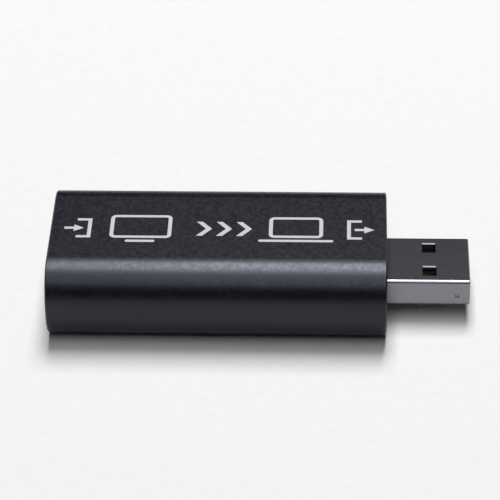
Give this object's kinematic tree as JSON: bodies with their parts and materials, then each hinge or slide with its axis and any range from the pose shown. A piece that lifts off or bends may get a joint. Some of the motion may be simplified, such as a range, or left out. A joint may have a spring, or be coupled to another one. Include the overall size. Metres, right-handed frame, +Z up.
{
  "type": "video capture box",
  "caption": "Stick-type video capture adapter: a round-cornered black metal housing with a video socket in its input end and a flat metal data plug standing out of its output end.",
  "frame": {"origin": "on the flat base that it rests on, midway along the overall length and across the width", "axes": "+X along the housing towards the data plug, +Y across it, +Z up from the base to the printed top"},
  "size_m": [0.0652, 0.028, 0.013],
  "materials": {
    "black_anodised_aluminium": "bead-blasted and black anodised",
    "black_moulded_plastic": "moulded, fine matt texture",
    "nickel_plated_steel": "pressed sheet, satin nickel plate",
    "black_connector_plastic": "moulded, smooth satin",
    "gold_plated_contacts": "bright gold plate",
    "solder_mask_laminate": "green solder mask, semi-gloss",
    "chip_moulding": "moulded, fine matt texture",
    "tinned_leads": "matt tin plate",
    "ferrite": "sintered, dull",
    "white_ceramic": "fired, dull",
    "tan_ceramic": "fired, slight gloss",
    "black_glaze": "glazed, glossy",
    "pale_grey_ink": "pad-printed marks on the housing's top"
  },
  "bodies": {
    "root": {"housing": "black_anodised_aluminium", "input_end_cap": "black_moulded_plastic", "output_end_cap": "black_moulded_plastic", "circuit_board": "solder_mask_laminate", "socket_shell": "nickel_plated_steel", "socket_insulator": "black_connector_plastic", "socket_upper_contacts": "gold_plated_contacts", "socket_lower_contacts": "gold_plated_contacts", "plug_shell": "nickel_plated_steel", "plug_insulator": "black_connector_plastic", "plug_contacts": "gold_plated_contacts", "capture_chip": "chip_moulding", "capture_chip_pads": "tinned_leads", "memory_chip": "chip_moulding", "memory_chip_leads": "tinned_leads", "regulators": "chip_moulding", "regulator_leads": "tinned_leads", "power_inductors": "ferrite", "inductor_terminals": "tinned_leads", "crystal_base": "white_ceramic", "crystal_lid": "nickel_plated_steel", "surge_arrays": "chip_moulding", "capacitors": "tan_ceramic", "capacitor_ends": "tinned_leads", "resistors": "black_glaze", "resistor_ends": "tinned_leads"}
  },
  "joints": []
}
